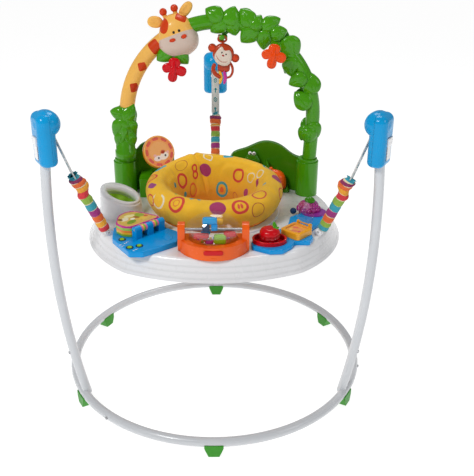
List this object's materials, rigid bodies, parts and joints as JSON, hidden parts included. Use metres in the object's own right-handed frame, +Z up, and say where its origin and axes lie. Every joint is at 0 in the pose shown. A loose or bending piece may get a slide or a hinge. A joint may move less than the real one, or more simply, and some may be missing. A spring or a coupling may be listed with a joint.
{
  "type": "activity jumper",
  "caption": "Free-standing baby activity jumper: bowed steel frame on a floor ring, sprung toy tray with swivel seat, animal arch and play toys.",
  "frame": {"origin": "on the floor, in the middle of the footprint's bounding box", "axes": "+Z up, -Y to the front where the drum toy is, +X to the right seen from the front"},
  "size_m": [0.865, 0.9196, 1.0465],
  "materials": {
    "white_tube": "gloss powder coat",
    "green_foot": "satin",
    "blue_cap": "gloss",
    "zinc_button": "zinc plated",
    "white_slider": "gloss",
    "webbing": "woven",
    "spring_steel": "bright",
    "striped_cover": "woven, striped",
    "white_tray": "gloss moulded",
    "tray_underside": "fine texture",
    "screw_steel": "zinc plated",
    "seat_ring_white": "gloss moulded",
    "seat_fabric": "printed woven",
    "sling_fabric": "woven",
    "green_plastic": "gloss moulded",
    "giraffe_yellow": "satin moulded",
    "orange_plastic": "gloss moulded",
    "clear_plastic": "clear polycarbonate",
    "rotor_plastic": "gloss moulded",
    "steel_pin": "bright",
    "blue_plastic": "gloss moulded",
    "page_plastic": "printed",
    "lime_button": "gloss moulded",
    "mirror_face": "plastic mirror",
    "lion_orange": "printed",
    "dark_green": "gloss moulded",
    "red_plastic": "gloss moulded",
    "tile_amber": "gloss moulded",
    "berry_purple": "gloss moulded",
    "monkey_brown": "gloss moulded"
  },
  "bodies": {
    "frame": {"base_tube_left": "white_tube", "base_tube_right": "white_tube", "base_tube_rear": "white_tube", "upright_left": "white_tube", "upright_right": "white_tube", "upright_rear": "white_tube", "floor_feet": "green_foot", "cap_inner": "blue_cap", "cap_outer": "blue_cap", "strap_sliders": "white_slider", "strap_left": "webbing", "strap_right": "webbing", "strap_rear": "webbing", "bounce_springs": "spring_steel", "spring_covers": "striped_cover"},
    "tray": {"tray_upper": "white_tray", "tray_lower": "tray_underside", "tray_screws": "screw_steel", "tray_hooks": "white_tray", "arch_sockets": "green_plastic", "giraffe_neck": "giraffe_yellow", "leafy_tube": "green_plastic", "arch_leaves": "green_plastic", "giraffe_face": "giraffe_yellow", "giraffe_back": "giraffe_yellow", "toy_pegs": "green_plastic", "ball_cradle": "orange_plastic", "ball_axle": "steel_pin", "book_base": "blue_plastic", "book_pin": "steel_pin", "mirror_pod": "white_tray", "mirror": "mirror_face", "lion_stand": "dark_green", "hill_panel": "dark_green", "fruit_base": "blue_plastic", "apple_dish": "red_plastic", "tile_frame": "tile_amber", "berry_plate": "berry_purple"},
    "seat": {"seat_ring": "seat_ring_white", "seat_pad": "seat_fabric", "seat_sling": "sling_fabric"},
    "drum": {"ball_shell": "clear_plastic", "ball_rotor": "rotor_plastic"},
    "book": {"book_pages": "page_plastic"},
    "tune_1": {"tune_button_1": "lime_button"},
    "tune_2": {"tune_button_2": "lime_button"},
    "tune_3": {"tune_button_3": "lime_button"},
    "lion": {"lion_disc": "lion_orange"},
    "pear": {"pear_spinner": "orange_plastic"},
    "apple": {"apple_spinner": "red_plastic"},
    "flap": {"tile_flap": "clear_plastic"},
    "monkey_toy": {"monkey": "monkey_brown"},
    "red_butterfly": {"butterfly_red": "red_plastic"},
    "orange_butterfly": {"butterfly_orange": "orange_plastic"},
    "post_snap_left": {"post_button_left": "zinc_button"},
    "post_snap_right": {"post_button_right": "zinc_button"},
    "post_snap_rear": {"post_button_rear": "zinc_button"},
    "ring_snap_left": {"ring_button_left": "zinc_button"},
    "ring_snap_right": {"ring_button_right": "zinc_button"},
    "ring_snap_rear": {"ring_button_rear": "zinc_button"}
  },
  "joints": [
    {"name": "tray_bounce", "type": "slide", "parent": "frame", "child": "tray", "axis": [0, 0, 1], "range_m": [-0.1, 0.03], "stiffness_N_per_m": 1500, "springref_m": 0.07067, "deforming": ["strap_left", "strap_right", "strap_rear", "spring_covers", "bounce_springs"]},
    {"name": "seat_swivel", "type": "hinge", "parent": "tray", "child": "seat", "pos_m": [0, -0.027, 0.5], "axis": [0, 0, 1], "continuous": true},
    {"name": "drum_spin", "type": "hinge", "parent": "tray", "child": "drum", "pos_m": [0, -0.277, 0.557], "axis": [1, 0, 0], "continuous": true},
    {"name": "book_flip", "type": "hinge", "parent": "tray", "child": "book", "pos_m": [-0.167, -0.21, 0.538], "axis": [0.723, 0.6909, 0], "range_deg": [0, 160]},
    {"name": "tune_press_1", "type": "slide", "parent": "tray", "child": "tune_1", "axis": [0, 0, 1], "range_m": [-0.002, 0], "stiffness_N_per_m": 300, "springref_m": 0.001},
    {"name": "tune_press_2", "type": "slide", "parent": "tray", "child": "tune_2", "axis": [0, 0, 1], "range_m": [-0.002, 0], "stiffness_N_per_m": 300, "springref_m": 0.001},
    {"name": "tune_press_3", "type": "slide", "parent": "tray", "child": "tune_3", "axis": [0, 0, 1], "range_m": [-0.002, 0], "stiffness_N_per_m": 300, "springref_m": 0.001},
    {"name": "lion_spin", "type": "hinge", "parent": "tray", "child": "lion", "pos_m": [-0.166, 0.123, 0.62], "axis": [0.4208, -0.7814, 0.4608], "continuous": true},
    {"name": "pear_spin", "type": "hinge", "parent": "tray", "child": "pear", "pos_m": [0.206, 0.119, 0.51], "axis": [-0.5945, 0.0728, 0.8008], "continuous": true},
    {"name": "apple_spin", "type": "hinge", "parent": "tray", "child": "apple", "pos_m": [0.141, -0.249, 0.53], "axis": [0, 0, 1], "continuous": true},
    {"name": "flap_close", "type": "hinge", "parent": "tray", "child": "flap", "pos_m": [0.23523, -0.18198, 0.5315], "axis": [0.7193, -0.6947, 0], "range_deg": [0, 98]},
    {"name": "monkey_swing", "type": "hinge", "parent": "tray", "child": "monkey_toy", "pos_m": [0.018, 0.091, 0.955], "axis": [0, 1, 0], "range_deg": [-25, 25]},
    {"name": "red_butterfly_swing", "type": "hinge", "parent": "tray", "child": "red_butterfly", "pos_m": [-0.106, 0.091, 0.886], "axis": [0, 1, 0], "range_deg": [-25, 25]},
    {"name": "orange_butterfly_swing", "type": "hinge", "parent": "tray", "child": "orange_butterfly", "pos_m": [0.161, 0.069, 0.936], "axis": [0, 1, 0], "range_deg": [-25, 25]},
    {"name": "post_snap_left_press", "type": "slide", "parent": "frame", "child": "post_snap_left", "axis": [-0.866, -0.5, 0], "range_m": [-0.0035, 0], "stiffness_N_per_m": 900, "springref_m": 0.001},
    {"name": "post_snap_right_press", "type": "slide", "parent": "frame", "child": "post_snap_right", "axis": [0.866, -0.5, 0], "range_m": [-0.0035, 0], "stiffness_N_per_m": 900, "springref_m": 0.001},
    {"name": "post_snap_rear_press", "type": "slide", "parent": "frame", "child": "post_snap_rear", "axis": [0, 1, 0], "range_m": [-0.0035, 0], "stiffness_N_per_m": 900, "springref_m": 0.001},
    {"name": "ring_snap_left_press", "type": "slide", "parent": "frame", "child": "ring_snap_left", "axis": [-0.6656, -0.7463, 0], "range_m": [-0.0035, 0], "stiffness_N_per_m": 900, "springref_m": 0.001},
    {"name": "ring_snap_right_press", "type": "slide", "parent": "frame", "child": "ring_snap_right", "axis": [0.9791, -0.2033, 0], "range_m": [-0.0035, 0], "stiffness_N_per_m": 900, "springref_m": 0.001},
    {"name": "ring_snap_rear_press", "type": "slide", "parent": "frame", "child": "ring_snap_rear", "axis": [-0.3135, 0.9496, 0], "range_m": [-0.0035, 0], "stiffness_N_per_m": 900, "springref_m": 0.001}
  ]
}
